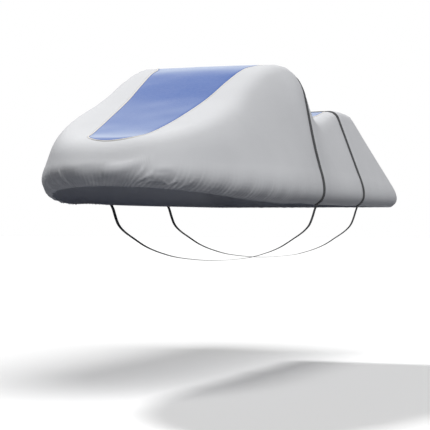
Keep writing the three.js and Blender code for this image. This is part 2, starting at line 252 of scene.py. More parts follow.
def cloth_points(s, row):
    """Points of the cloth's outer face at sections s, one column each, and rows of the same
    columns. Row 0 to 1 is the top, 1 to 2 the shoulder's turn, 2 to 3 the side, 3 to 4 the turn
    at the widest line and 4 to 5 the tuck down to the hem."""
    near = 1e-4
    widest, shoulder = rails(s)
    run = unit(rails(np.minimum(s + near, STERN_MIDDLE))[0] - rails(np.maximum(s - near, 0))[0])
    inward = plan(-run[:, 1], run[:, 0])
    inward[s == 0] = (0, 1)
    inward[s == STERN_MIDDLE] = (0, -1)
    inward = raised(inward, 0)

    spine = plan(0, spine_aft(shoulder[:, 1]))
    top_turn = along(SHOULDER, "top_turn", shoulder[:, 1])
    side_turn = along(SHOULDER, "side_turn", shoulder[:, 1])
    top_length = np.linalg.norm(shoulder - spine, axis=1)
    lip = shoulder + unit(spine - shoulder) * np.minimum(top_turn, MOST_OF_TOP * top_length)[:, None]
    corner = raised(shoulder, top_height(shoulder[:, 0], shoulder[:, 1]))
    edge = raised(widest, along(EDGE, "widest", widest[:, 1]))
    hem = edge + inward * HEM_INSET
    hem[:, 2] = along(EDGE, "hem", widest[:, 1])
    half_side = np.linalg.norm(corner - edge, axis=1) / 2
    shoulder_start = raised(lip, top_height(lip[:, 0], lip[:, 1]))
    shoulder_end = corner + unit(edge - corner) * np.minimum(side_turn, half_side)[:, None]
    edge_turn = np.minimum(along(EDGE, "turn", widest[:, 1]), half_side)
    edge_start = edge + unit(corner - edge) * edge_turn[:, None]
    edge_end = edge + (hem - edge) * EDGE_TURN_DOWN

    t = row[..., None]
    flat = spine + (lip - spine) * np.clip(t, 0, 1)
    top = raised(flat, top_height(flat[..., 0], flat[..., 1]))
    bands = [top, bezier(shoulder_start, corner, shoulder_end, t - 1),
             shoulder_end + (edge_start - shoulder_end) * (t - 2),
             bezier(edge_start, edge, edge_end, t - 3)]
    points = np.select([t <= 1, t <= 2, t <= 3, t <= 4], bands, edge_end + (hem - edge_end) * (t - 4))

    pull = np.clip((row - 3) / 2, 0, 1)
    tuck_out = unit(raised(inward[:, :2] * (hem - edge)[:, 2:], -HEM_INSET))
    fullness = along(EDGE, "fullness", widest[:, 1])
    points = points + tuck_out * (fullness * np.sin(math.pi * pull))[..., None]
    turns = np.interp(s, round_places, round_lengths) / GATHER_PITCH + GATHER_LEAN * pull
    depth = along(GATHERS, "depth", widest[:, 1])
    points = points + inward * (depth * pull * np.sin(2 * math.pi * turns))[..., None]
    return points + (0, -CREST_AFT, CLOTH - top_height(0, CREST_AFT))


def seam_rows(s):
    """The row at which each section crosses the blue panel's seam."""
    low, high = np.zeros(len(s)), np.full(len(s), 2.0)
    for _ in range(SEAM_HALVINGS):
        middle = (low + high) / 2
        point = cloth_points(s, middle[None])[0]
        inside = point[:, 0] < panel_out(point[:, 1] + CREST_AFT)
        low, high = np.where(inside, middle, low), np.where(inside, high, middle)
    return (low + high) / 2


# The elastic's fine pleats, by the distance round the widest line from the bow's tip, to port and,
# below zero, to starboard. Lean is how far a pleat moves aft, or round, for each metre it rises.
PLEATS = {
    "round": (-4.03, -2.90, -1.75, -1.60, -1.05, -.60, -.25, 0, .12, .22,
              .45, .65, 1.05, 1.60, 1.75, 2.90, 4.03),
    "pitch": (.050, .045, .045, .045, .030, .016, .015, .018, .018, .024,
              .027, .027, .025, .026, .034, .045, .050),
    "lean": (0, -.4, -.4, -.8, -1.0, -1.1, -.9, .2, .7, .9, .9, .9, 1.0, .8, .4, .4, 0),
    "depth": (.0030, .0010, .0004, .0026, .0042, .0038, .0032, .0020, .0026, .0030,
              .0033, .0038, .0038, .0030, .0016, .0010, .0030),
}
PLEAT_REACH = 0.058
PLEAT_SHARPNESS = 1.5
PLEAT_KINDS = 400
PLEAT_DEPTHS = (0.35, 1.15)
PLEAT_REACHES = (0.75, 1.35)
STREAK_SHARE = 0.10
STREAK_TOP = 0.170

# Single creases where the cloth bunches on the bow: three points each, as distance round and height
# over the hem, then the crease's rise and its half width.
CREASES = (
    (.190, .022, .250, .062, .330, .060, .0050, .0065),
    (.200, .014, .280, .045, .345, .018, .0048, .0060),
    (.165, .015, .230, .060, .252, .088, .0044, .0070),
    (.150, .012, .195, .068, .206, .102, .0038, .0075),
    (.330, .012, .360, .035, .392, .048, .0040, .0065),
    (.245, .088, .310, .102, .372, .086, .0028, .0100),
    (.400, .014, .440, .045, .470, .070, .0034, .0080),
    (-.300, .020, -.345, .060, -.350, .100, .0026, .0075),
    (-.180, .015, -.225, .058, -.240, .092, .0038, .0075),
    (.020, .060, .110, .096, .230, .138, .0110, .0250),
)
CREASE_STEPS = 25
CREASE_REACH = 4

STRAP_WIDTH = 0.038
STRAPS = {
    "front": {"aft": 1.484, "slip": .085},
    "rear": {"aft": 2.306, "slip": 0},
}
SLIP_FROM_UP = 0.24
SLIP_TO_UP = 0.72
STRAP_PRESS = 0.0008
STRAP_HELD = 0.003
STRAP_FREE = 0.045
CASING = 0.022
CASING_ROUND = 0.00112
SEAM_DIP = 0.0008
SEAM_REACH = 0.010
FOLD_REACH = 0.020
FOLD_DEPTH = 0.0024
SLACK = ((0.60, 0.0016), (0.17, 0.0005))
SLACK_FROM = 0.15
DRIFT_WAVES = 7
DRIFT_GAIN = 1.8


def drift(points, wavelength, seed):
    """A slow seeded unevenness over the points, between about -1 and 1."""
    rng = np.random.default_rng(seed)
    waves = unit(rng.normal(size=(DRIFT_WAVES, 3))) * (2 * math.pi / wavelength)
    return np.sin(points @ waves.T + rng.uniform(0, 2 * math.pi, DRIFT_WAVES)).mean(-1) * DRIFT_GAIN


pleat_places = np.linspace(-HALF_ROUND, HALF_ROUND, 4001)
pleat_counts = np.concatenate([[0], np.cumsum(
    np.diff(pleat_places) / along(PLEATS, "pitch", (pleat_places[1:] + pleat_places[:-1]) / 2))])


def pleat_relief(distance, height):
    """How far the elastic's pleats stand out of the cloth: sharp ridges between wide troughs."""
    slide = along(PLEATS, "lean", distance) * PLEAT_REACH * (1 - np.exp(-height / PLEAT_REACH))
    count = np.interp(distance - slide, pleat_places, pleat_counts)
    number = np.floor(count).astype(int)
    uneven = np.random.default_rng(11).uniform(*PLEAT_DEPTHS, PLEAT_KINDS)[number % PLEAT_KINDS]
    reach = np.random.default_rng(12).uniform(*PLEAT_REACHES, PLEAT_KINDS)[number % PLEAT_KINDS]
    ridge = (1 - np.abs(2 * (count - number) - 1)) ** PLEAT_SHARPNESS * uneven
    fade = np.exp(-(height / (PLEAT_REACH * reach)) ** 2)
    streak = STREAK_SHARE * (1 - smooth(PLEAT_REACH, STREAK_TOP * reach, height))
    return along(PLEATS, "depth", distance) * ridge * np.maximum(fade, streak)


def crease_relief(distance, height):
    lifted = np.zeros_like(height)
    t = np.linspace(0, 1, CREASE_STEPS)[:, None]
    for a, b, c, d, e, f, rise, width in CREASES:
        start, middle, end = np.array([a, b]), np.array([c, d]), np.array([e, f])
        route = bezier(start, 2 * middle - (start + end) / 2, end, t)
        reach = CREASE_REACH * width
        near = ((distance > min(a, c, e) - reach) & (distance < max(a, c, e) + reach)
                & (height < max(b, d, f) + reach))
        place = np.stack([distance[near], height[near]], -1)
        apart = np.linalg.norm(place[:, None] - route[None], axis=2)
        nearest = apart.argmin(1)
        taper = np.sin(math.pi * np.clip(t[nearest, 0], 0.02, 0.98)) ** 0.6
        lifted[near] += rise * taper * np.exp(-(apart.min(1) / width) ** 2)
    return lifted


def strap_aft(strap, up):
    """A strap's middle line. Drawn tight, the front one slips aft over the crest."""
    return strap["aft"] + strap["slip"] * smooth(SLIP_FROM_UP, SLIP_TO_UP, up)


def relief(points, distance, height, from_seam):
    """How far the real cloth stands off its smooth shape, along its normal."""
    slack = sum(size * drift(points, length, int(length * 100)) for length, size in SLACK)
    folds = pleat_relief(distance, height) + crease_relief(distance, height)
    loose = slack * smooth(0, SLACK_FROM, height) + folds
    aft, up = points[..., 1] + CREST_AFT, points[..., 2] - CLOTH + top_height(0, CREST_AFT)
    from_strap = np.min([abs(aft - strap_aft(strap, up)) for strap in STRAPS.values()], axis=0)
    free = smooth(STRAP_WIDTH / 2 + STRAP_HELD, STRAP_WIDTH / 2 + STRAP_FREE, from_strap)
    casing = CASING_ROUND * np.sin(math.pi * np.clip(height / CASING, 0, 1)) ** 0.5
    dip = SEAM_DIP * np.exp(-(from_seam / SEAM_REACH) ** 2)
    return loose * free - STRAP_PRESS * (1 - free) + casing * free - dip


# Columns run from the bow down the port side to the stern, and back up the starboard side.
COLUMNS = (550, 120, 32, 22, 20)
port_places = np.concatenate([k + np.arange(n) / n for k, n in enumerate(COLUMNS)])
half_places = np.append(port_places, STERN_MIDDLE)
half_round = np.interp(half_places, round_places, round_lengths)


def both_sides(half):
    """The starboard half after the port half, with the columns at bow and stern used once."""
    mirrored = half[:, -2:0:-1] * (-1, 1, 1) if half.ndim == 3 else half[:, -2:0:-1]
    return np.concatenate([half, mirrored], axis=1)


def sign_round(half):
    return np.concatenate([half, -half[:, -2:0:-1]], axis=1)


def heights_and_rows(s):
    """For each section, from the hem up, the length of cloth to the hem from a fine set of rows."""
    rows = np.linspace(HEM_ROW, 0, HEIGHT_ROWS)[:, None] + np.zeros(len(s))
    steps = np.linalg.norm(np.diff(cloth_points(s, rows), axis=0), axis=2)
    return np.concatenate([np.zeros((1, len(s))), np.cumsum(steps, axis=0)]), rows


def lookup(at, known, values):
    """Reads values at places in the known ones, which rise, column by column."""
    columns = range(known.shape[1])
    return np.stack([np.interp(at[:, k], known[:, k], values[:, k]) for k in columns], axis=1)


heights_known, rows_known = heights_and_rows(half_places)
seam_row = seam_rows(half_places)
seam_height = lookup(-seam_row[None], -rows_known, heights_known)[0]
spine_height = heights_known[-1]


def normals_of(grid):
    """Outward normals of a grid of rings that are closed round the boat."""
    across = np.roll(grid, -1, axis=1) - np.roll(grid, 1, axis=1)
    down = np.gradient(grid, axis=0)
    return unit(np.cross(down, across))


def smooth_cloth(height):
    """The cloth's smooth shape and normals at heights over the hem, a row each, all round."""
    half = cloth_points(half_places, lookup(height, heights_known, rows_known))
    grid = both_sides(half)
    return grid, normals_of(grid)


def cloth_rings(height, from_seam):
    """The cloth as it lies, with its gathers, creases and seam, its normals and a mask of its folds for
    painted shade and highlight.
    """
    grid, normals = smooth_cloth(height)
    distance = sign_round(half_round + np.zeros_like(height))
    lift = relief(grid, distance, both_sides(height), both_sides(from_seam))
    grid = grid + normals * lift[..., None]
    return grid, normals_of(grid), fold_shade_mask_of(lift)


def fold_shade_mask_of(lift):
    """1 on the ridges of the folds and -1 in the grooves between them, from the lift round a ring: a mask
    for painted highlight and painted shade.
    """
    run = np.append(half_round, 2 * HALF_ROUND - half_round[-2:0:-1])
    steps = np.diff(run, append=2 * HALF_ROUND)
    total = np.concatenate([np.zeros((len(lift), 1)), np.cumsum(lift * steps, axis=1)], axis=1)
    edges = np.append(run, 2 * HALF_ROUND)
    low, high = np.clip(run - FOLD_REACH, 0, None), np.clip(run + FOLD_REACH, None, 2 * HALF_ROUND)
    gained = np.stack([np.interp(high, edges, row) - np.interp(low, edges, row) for row in total])
    return np.clip((lift - gained / (high - low)) / FOLD_DEPTH, -1, 1)


def mesh_object(name, points, faces, uvs=None, material=None):
    """A smooth-shaded mesh. The uvs are one pair for each corner of each face, in metres."""
    mesh = bpy.data.meshes.new(name)
    mesh.from_pydata(points.reshape(-1, 3).tolist(), [], faces.tolist())
    if uvs is not None:
        layer = mesh.uv_layers.new(name="cloth")
        layer.data.foreach_set("uv", uvs.reshape(-1).astype(np.float32))
    mesh.shade_smooth()
    if material:
        mesh.materials.append(material)
    made = bpy.data.objects.new(name, mesh)
    bpy.context.scene.collection.objects.link(made)
    return made


def store(made, label, values):
    """Stores a number on each point of a mesh, for its material to read."""
    layer = made.data.attributes.new(label, "FLOAT", "POINT")
    layer.data.foreach_set("value", values.reshape(-1).astype(np.float32))


def grid_faces(rings, columns, wrap_rings, wrap_columns=True):
    """Quads of a grid of rings. It may close round each ring, and from the last ring to the first."""
    i = np.arange(rings if wrap_rings else rings - 1)[:, None]
    j = np.arange(columns if wrap_columns else columns - 1)[None]
    below, beside = (i + 1) % rings, (j + 1) % columns
    corners = [i * columns + j, below * columns + j, below * columns + beside, i * columns + beside]
    return np.stack(np.broadcast_arrays(*corners), -1).reshape(-1, 4)


def grid_uvs(across, up, rings, columns, wrap_rings, wrap_columns=True):
    """Corner uvs for grid_faces. Across has a value for each column and, round a ring, one more."""
    i = np.arange(rings if wrap_rings else rings - 1)[:, None]
    j = np.arange(columns if wrap_columns else columns - 1)[None]
    below, beside = (i + 1) % rings, (j + 1) % columns
    pairs = [(j, i, j), (j, below, j), (j + 1, below, beside), (j + 1, i, beside)]
    return np.stack([np.stack(np.broadcast_arrays(across[a], up[b, c]), -1) for a, b, c in pairs], 2)


def node(tree, kind, settings=None, inputs=None):
    """Adds a node. An input is a plain value or another node's output."""
    made = tree.nodes.new(kind)
    for name, value in (settings or {}).items():
        setattr(made, name, value)
    for name, value in (inputs or {}).items():
        if isinstance(value, bpy.types.NodeSocket):
            tree.links.new(value, made.inputs[name])
        else:
            made.inputs[name].default_value = value
    return made


def math_node(tree, operation, first, second=0.0, third=0.0):
    return node(tree, "ShaderNodeMath", {"operation": operation}, {0: first, 1: second, 2: third}).outputs[0]


def colour_mix(tree, share, first, second):
    """Mixes two colours. Each is a plain (r, g, b) or another node's output."""
    made = node(tree, "ShaderNodeMix", {"data_type": "RGBA"}, {0: share})
    for socket, colour in ((made.inputs[6], first), (made.inputs[7], second)):
        if isinstance(colour, bpy.types.NodeSocket):
            tree.links.new(colour, socket)
        else:
            socket.default_value = (*colour, 1)
    return made.outputs[2]


def new_group(name, inputs, outputs):
    """An empty shader node group, its named inputs as (socket type, default) and its outputs."""
    tree = bpy.data.node_groups.new(name, "ShaderNodeTree")
    for label, (kind, value) in inputs.items():
        socket = tree.interface.new_socket(label, in_out="INPUT", socket_type=kind)
        if value is not None:
            socket.default_value = value
    for label in outputs:
        tree.interface.new_socket(label, in_out="OUTPUT", socket_type="NodeSocketFloat")
    return tree, tree.nodes.new("NodeGroupInput"), tree.nodes.new("NodeGroupOutput")


# The plain weave that all the cloths share: warp and weft threads that go over and under.
CLOTH_THREAD = 0.0011
FINE_THREAD = 0.0007
SLUB_STRETCH = (2.2, 75, 1)
weave, weave_in, weave_out = new_group(
    "plain weave", {"Place": ("NodeSocketVector", None), "Thread": ("NodeSocketFloat", CLOTH_THREAD)},
    ["Height", "Slub"])
weave_place = node(weave, "ShaderNodeSeparateXYZ", inputs={0: weave_in.outputs["Place"]})
threads = []
for axis in (0, 1):
    count = math_node(weave, "DIVIDE", weave_place.outputs[axis], weave_in.outputs["Thread"])
    threads.append(math_node(weave, "SINE", math_node(weave, "MULTIPLY", count, math.pi)))
weave_height = math_node(weave, "MULTIPLY", threads[0], threads[1])
weave.links.new(weave_height, weave_out.inputs["Height"])
slub_stretch = node(weave, "ShaderNodeMapping",
                    inputs={0: weave_in.outputs["Place"], "Scale": SLUB_STRETCH})
slub = node(weave, "ShaderNodeTexNoise",
            inputs={"Vector": slub_stretch.outputs[0], "Scale": 1.0, "Detail": 3.0})
weave.links.new(slub.outputs[0], weave_out.inputs["Slub"])

# Weather: broad uneven tone, and dust that settles where the cloth faces up.
SPECK_SIZE = 55.0
weather, weather_in, weather_out = new_group(
    "weather", {"Place": ("NodeSocketVector", None), "Size": ("NodeSocketFloat", 3.0)}, ["Tone", "Dust"])
tone = node(weather, "ShaderNodeTexNoise", inputs={
    "Vector": weather_in.outputs["Place"], "Scale": weather_in.outputs["Size"], "Detail": 5.0})
weather.links.new(tone.outputs[0], weather_out.inputs["Tone"])
surface = weather.nodes.new("ShaderNodeNewGeometry")
facing = node(weather, "ShaderNodeSeparateXYZ", inputs={0: surface.outputs["Normal"]})
speck = node(weather, "ShaderNodeTexNoise",
             inputs={"Vector": weather_in.outputs["Place"], "Scale": SPECK_SIZE, "Detail": 4.0})
up_facing = math_node(weather, "MAXIMUM", facing.outputs[2], 0.0)
weather.links.new(math_node(weather, "MULTIPLY", up_facing, speck.outputs[0]), weather_out.inputs["Dust"])


def group_node(tree, group, inputs):
    return node(tree, "ShaderNodeGroup", {"node_tree": group}, inputs)


def new_material(name):
    """A material with its node tree, its shader and the places on the piece it is for."""
    material = bpy.data.materials.new(name)
    material.use_nodes = True
    tree = material.node_tree
    return material, tree, tree.nodes["Principled BSDF"], tree.nodes.new("ShaderNodeTexCoord")


SLUB_SHARE = 0.35
DYE_SHARE = 0.75
# Painted shade in the folds' grooves and a painted highlight on their ridges:
GROOVE_SHADE_SHARE = 0.45
GROOVE_SHADE_DARKNESS = 0.45
RIDGE_HIGHLIGHT_SHARE = 0.40
RIDGE_HIGHLIGHT_GAIN = 1.25
PALEST_HIGHLIGHT = 0.80
DUST_SHARE = 0.10
# The facing over which a painted sheen pales the cloth at low angles, from its start to its full share.
LOW_ANGLE = (0.68, 0.94)


def cloth_material(name, dark, light, dust_and_painted_sheen, thread, roughness, sheen, painted_sheen, seam_shade_colour=None):
    """Coated cloth: uneven tone and dust in the colour, weave and slubs in the bump. Where it is seen
    at a low angle a painted sheen pales it towards its dust colour, as far as the sheen share given.
    Beside the seam a painted shade turns it to the seam shade colour given, or else to its dark colour."""
    material, tree, shader, place = new_material(name)
    woven = group_node(tree, weave, {"Place": place.outputs["UV"], "Thread": thread})
    worn = group_node(tree, weather, {"Place": place.outputs["Object"], "Size": 2.4})

    mottle = node(tree, "ShaderNodeMapRange", inputs={0: worn.outputs["Tone"], 1: 0.3, 2: 0.7})
    streaked = math_node(tree, "MULTIPLY_ADD", woven.outputs["Slub"], SLUB_SHARE, mottle.outputs[0])
    dyed = colour_mix(tree, math_node(tree, "MULTIPLY", streaked, DYE_SHARE), dark, light)
    # Painted shade darkens the grooves of the folds, and a painted highlight makes their ridges pale.
    fold_shade_mask = node(tree, "ShaderNodeAttribute", {"attribute_name": "fold_shade_mask"}).outputs["Fac"]
    groove_shade = math_node(tree, "MAXIMUM", math_node(tree, "MULTIPLY", fold_shade_mask, -GROOVE_SHADE_SHARE), 0.0)
    ridge = math_node(tree, "MAXIMUM", math_node(tree, "MULTIPLY", fold_shade_mask, RIDGE_HIGHLIGHT_SHARE), 0.0)
    groove_shaded = colour_mix(tree, groove_shade, dyed, [GROOVE_SHADE_DARKNESS * c for c in dark])
    ridge_highlighted = colour_mix(tree, ridge, groove_shaded, [min(RIDGE_HIGHLIGHT_GAIN * c, PALEST_HIGHLIGHT) for c in light])
    dusted = colour_mix(tree, math_node(tree, "MULTIPLY", worn.outputs["Dust"], DUST_SHARE), ridge_highlighted, dust_and_painted_sheen)
    # A painted sheen: the colour pales towards the dust colour where the cloth is seen at a low angle.
    facing = node(tree, "ShaderNodeLayerWeight", inputs={"Blend": 0.5})
    low_angle_sheen = node(tree, "ShaderNodeMapRange", {"interpolation_type": "SMOOTHSTEP"},
                     {0: facing.outputs["Facing"], 1: LOW_ANGLE[0], 2: LOW_ANGLE[1], 3: 0.0, 4: painted_sheen})
    sheen_painted = colour_mix(tree, low_angle_sheen.outputs[0], dusted, dust_and_painted_sheen)
    # Painted shade: the colour darkens beside the seam, as far as the mask stored on the points says.
    beside = node(tree, "ShaderNodeAttribute", {"attribute_name": "seam shade mask"})
    seam_shaded = colour_mix(tree, beside.outputs["Fac"], sheen_painted, seam_shade_colour or dark)
    tree.links.new(seam_shaded, shader.inputs["Base Color"])

    rough = node(tree, "ShaderNodeMapRange",
                 inputs={0: worn.outputs["Tone"], 3: roughness - 0.05, 4: roughness + 0.06})
    tree.links.new(rough.outputs[0], shader.inputs["Roughness"])
    slubs = node(tree, "ShaderNodeBump",
                 inputs={"Strength": 0.35, "Distance": 0.0006, "Height": woven.outputs["Slub"]})
    bump = node(tree, "ShaderNodeBump", inputs={
        "Strength": 0.5, "Distance": 0.00012, "Height": woven.outputs["Height"], "Normal": slubs.outputs[0]})
    tree.links.new(bump.outputs[0], shader.inputs["Normal"])
    shader.inputs["Specular IOR Level"].default_value = 0.15
    shader.inputs["Sheen Weight"].default_value = sheen
    shader.inputs["Sheen Roughness"].default_value = 0.45
    return material


GREY_DARK = (0.536, 0.542, 0.559)
GREY_LIGHT = (0.591, 0.598, 0.615)
GREY_DUST = (0.66, 0.65, 0.63)
grey_cloth = cloth_material(
    "grey_cloth", dark=GREY_DARK, light=GREY_LIGHT, dust_and_painted_sheen=GREY_DUST,
    thread=CLOTH_THREAD, roughness=0.70, sheen=0.0, painted_sheen=0.0)

# The hem's rows are close together for the casing and the pleats, and wider apart above.
HEM_HEIGHTS = (0, .005, .010, .015, .019, .022, .025, .030, .036, .043)
FINE_ROWS = 16
FINE_TOP = 0.230
FINE_SHARE = 0.80
SEAM_GAP = 0.0012
SEAM_ROWS = (.0, .003, .007, .012, .019)
UPPER_ROWS = 14
CASING_DEPTH = 0.0055
CASING_TURNS = 5
INNER_EVERY = 3


def seam_offsets(length, steps):
    """Distances from the seam: close together beside it, then even over the rest of a length."""
    near = SEAM_GAP + np.array(SEAM_ROWS)[:, None] + np.zeros_like(length)
    rest = np.linspace(near[-1], length, steps + 1)[1:]
    return np.concatenate([near, rest])


hem_rows = np.array(HEM_HEIGHTS)[::-1, None] + 0 * seam_height
fine_top = np.minimum(FINE_TOP, FINE_SHARE * seam_height)
fine_rows = hem_rows[0] + (fine_top - hem_rows[0]) * (np.arange(FINE_ROWS, 0, -1) / FINE_ROWS)[:, None]
upper_rows = seam_height - seam_offsets(seam_height - fine_top, UPPER_ROWS)[:-1]
body_heights = np.concatenate([upper_rows, fine_rows, hem_rows])
body_outer, body_normals, body_fold_shade_mask = cloth_rings(body_heights, seam_height - body_heights)

hem_normal = body_normals[-1]
hem_down = unit(body_outer[-1] - body_outer[-2])
casing_rings = []
for k in range(1, CASING_TURNS):
    angle = math.pi * k / CASING_TURNS
    middle = body_outer[-1] - hem_normal * CASING_DEPTH / 2
    turned = hem_normal * math.cos(angle) + hem_down * math.sin(angle)
    casing_rings.append(middle + turned * CASING_DEPTH / 2)

inner_heights = body_heights[::INNER_EVERY]
thinned = smooth(CASING * 0.7, CASING * 1.3, both_sides(inner_heights))
depth = CASING_DEPTH + (CLOTH - CASING_DEPTH) * thinned
body_inner = body_outer[::INNER_EVERY] - body_normals[::INNER_EVERY] * depth[..., None]
body_grid = np.concatenate([body_outer, np.array(casing_rings), body_inner[::-1]])
body_up = np.concatenate([both_sides(body_heights), np.zeros((len(casing_rings), body_grid.shape[1])),
                          -both_sides(inner_heights)[::-1]])
round_uv = np.concatenate([half_round, 2 * HALF_ROUND - half_round[-2:0:-1], [2 * HALF_ROUND]])
rings, columns = body_grid.shape[:2]
cover_body = mesh_object(
    "grey_cover_cloth", body_grid, grid_faces(rings, columns, True),
    grid_uvs(round_uv, body_up, rings, columns, True), grey_cloth)
plain = np.zeros((len(casing_rings) + len(body_inner), columns))
# The folds' ridges and grooves, where the colour gets painted highlight and painted shade.
store(cover_body, "fold_shade_mask", np.concatenate([body_fold_shade_mask, plain]))

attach(cover_body, "root")
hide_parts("cover_body")


# ---- Blue centre panel --------------------------------------------------------------------------
# Mid-blue cloth of the same make, cut to a round tip at the nose and a round end on the seat, and
# sewn edge to edge into the opening in the grey cloth.

PANEL_ROWS = 15
SEAM_SHADE = 0.0085
PANEL_EVERY = 2
WELD = 1e-5
BLUE_DARK = (0.042, 0.100, 0.318)
BLUE_LIGHT = (0.064, 0.128, 0.360)
# The blue that the painted shade beside the seam darkens to.
BLUE_SEAM_SHADE = (0.035, 0.085, 0.300)
# Dust, and the painted sheen at low angles, pale the blue towards this colour.
BLUE_DUST_AND_SHEEN = (0.50, 0.56, 0.66)

panel_length = spine_height - seam_height
panel_from_seam = seam_offsets(panel_length, PANEL_ROWS)
panel_heights = (seam_height + panel_from_seam)[::-1]
panel_outer, panel_normals, _ = cloth_rings(panel_heights, panel_from_seam[::-1])
panel_outer, panel_normals = panel_outer[:, ::PANEL_EVERY], panel_normals[:, ::PANEL_EVERY]
# Port and starboard meet at the centreline, so their first rings are one line.
spine_normals = unit(panel_normals[0] * (0, 1, 1))
panel_normals[0] = spine_normals
panel_outer[0, :, 0] = 0
panel_inner = panel_outer - panel_normals * CLOTH
panel_grid = np.concatenate([panel_outer, panel_inner[::-1]])
rings, columns = panel_grid.shape[:2]
panel_faces = grid_faces(rings, columns, False)
panel_uvs = panel_grid[..., :2].reshape(-1, 2)[panel_faces]
blue_cloth = cloth_material(
    "blue_cloth", dark=BLUE_DARK, light=BLUE_LIGHT, dust_and_painted_sheen=BLUE_DUST_AND_SHEEN,
    thread=CLOTH_THREAD, roughness=0.62, sheen=0.0, painted_sheen=0.70, seam_shade_colour=BLUE_SEAM_SHADE)
centre_panel = mesh_object("blue_centre_panel", panel_grid, panel_faces, panel_uvs, blue_cloth)
# The distance of each point from the seam gives the painted shade beside it its mask.
panel_apart = both_sides(panel_from_seam[::-1])[:, ::PANEL_EVERY]
panel_apart = np.concatenate([panel_apart, panel_apart[::-1]])
store(centre_panel, "seam shade mask", np.exp(-(panel_apart / SEAM_SHADE) ** 2))


def weld(made):
    """Joins points that lie together, fills open ends and turns the faces outwards."""
    work = bmesh.new()
    work.from_mesh(made.data)
    bmesh.ops.remove_doubles(work, verts=work.verts, dist=WELD)
    bmesh.ops.dissolve_degenerate(work, edges=work.edges, dist=WELD)
    bmesh.ops.holes_fill(work, edges=[edge for edge in work.edges if edge.is_boundary], sides=0)
    bmesh.ops.recalc_face_normals(work, faces=work.faces)
    work.to_mesh(made.data)
    work.free()
    made.data.shade_smooth()


weld(centre_panel)
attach(centre_panel, "root")
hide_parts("centre_panel")


# ---- Piping -------------------------------------------------------------------------------------
# Pale cream piping, a cord in a folded strip of cloth, caught in the seam all round the panel.

PIPING_HALF_WIDTH = 0.0036
PIPING_HALF_HEIGHT = 0.0024
PIPING_SIDES = 10
PIPING_SINK = 0.0003
CREAM_DARK = (0.66, 0.63, 0.57)
CREAM_LIGHT = (0.73, 0.70, 0.64)
# Dust, and the painted sheen at low angles, pale the cream towards this colour.
CREAM_DUST_AND_SHEEN = (0.68, 0.66, 0.61)

seam_ring, seam_normals = smooth_cloth(seam_height[None] + np.array([[.004], [0], [-.004]]))
seam_line, seam_out = seam_ring[1], seam_normals[1]
seam_line = seam_line - seam_out * (SEAM_DIP + PIPING_SINK)
seam_along = unit(np.roll(seam_line, -1, axis=0) - np.roll(seam_line, 1, axis=0))
seam_across = unit(np.cross(seam_along, seam_out))
angles = np.arange(PIPING_SIDES) * 2 * math.pi / PIPING_SIDES
piping_grid = np.stack([seam_line + seam_out * PIPING_HALF_HEIGHT * math.cos(a)
                        + seam_across * PIPING_HALF_WIDTH * math.sin(a) for a in angles])
rings, columns = piping_grid.shape[:2]
seam_run = run_length(np.concatenate([seam_line, seam_line[:1]]))
piping_up = (angles * PIPING_HALF_WIDTH)[:, None] + np.zeros(columns)
cream_piping = cloth_material(
    "cream_piping", dark=CREAM_DARK, light=CREAM_LIGHT, dust_and_painted_sheen=CREAM_DUST_AND_SHEEN,
    thread=FINE_THREAD, roughness=0.68, sheen=0.10, painted_sheen=0.3)
panel_piping = mesh_object(
    "cream_piping_cord", piping_grid, grid_faces(rings, columns, True),
    grid_uvs(seam_run, piping_up, rings, columns, True), cream_piping)
weld(panel_piping)
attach(panel_piping, "root")
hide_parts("panel_piping")


# ---- Stitching ----------------------------------------------------------------------------------
# Lockstitch in strong polyester thread: a row on each side of the piping, which holds the seam
# flat, and one that closes the hem's casing over its elastic. Each stitch is a short fat bead.

STITCH_PITCH = 0.0056
STITCH_LENGTH = 0.0038
STITCH_THICKNESS = 0.0009
STITCH_FROM_SEAM = 0.0075
FAR_FROM_SEAM = 1.0
STITCH_LIFT = 0.0002
STITCH_PROUD = 0.15
GREY_THREAD = (0.36, 0.365, 0.375)
BLUE_THREAD = (0.10, 0.17, 0.44)
THREAD_FADE = 0.18

stitching = bpy.data.node_groups.new("stitch row", "GeometryNodeTree")
stitching.interface.new_socket("Route", in_out="INPUT", socket_type="NodeSocketGeometry")
for label in ("Pitch", "Length", "Thickness"):
    stitching.interface.new_socket(label, in_out="INPUT", socket_type="NodeSocketFloat")
stitching.interface.new_socket("Thread", in_out="INPUT", socket_type="NodeSocketMaterial")
stitching.interface.new_socket("Stitches", in_out="OUTPUT", socket_type="NodeSocketGeometry")
given = stitching.nodes.new("NodeGroupInput")
route_curve = node(stitching, "GeometryNodeMeshToCurve", inputs={"Mesh": given.outputs["Route"]})
spaced = node(stitching, "GeometryNodeResampleCurve", {"mode": "LENGTH"},
              {"Curve": route_curve.outputs[0], "Length": given.outputs["Pitch"]})
tangent = stitching.nodes.new("GeometryNodeInputTangent")
aligned = node(stitching, "FunctionNodeAlignRotationToVector", {"axis": "X"},
               {"Vector": tangent.outputs[0]})
bead = node(stitching, "GeometryNodeMeshUVSphere", inputs={"Segments": 6, "Rings": 4, "Radius": 0.5})
bead_size = node(stitching, "ShaderNodeCombineXYZ", inputs={
    0: given.outputs["Length"], 1: given.outputs["Thickness"], 2: given.outputs["Thickness"]})
placed = node(stitching, "GeometryNodeInstanceOnPoints", inputs={
    "Points": spaced.outputs[0], "Instance": bead.outputs["Mesh"],
    "Rotation": aligned.outputs[0], "Scale": bead_size.outputs[0]})
real = node(stitching, "GeometryNodeRealizeInstances", inputs={0: placed.outputs[0]})
smoothed = node(stitching, "GeometryNodeSetShadeSmooth", inputs={"Geometry": real.outputs[0]})
coloured = node(stitching, "GeometryNodeSetMaterial", inputs={
    "Geometry": smoothed.outputs[0], "Material": given.outputs["Thread"]})
stitching.links.new(coloured.outputs[0], stitching.nodes.new("NodeGroupOutput").inputs["Stitches"])


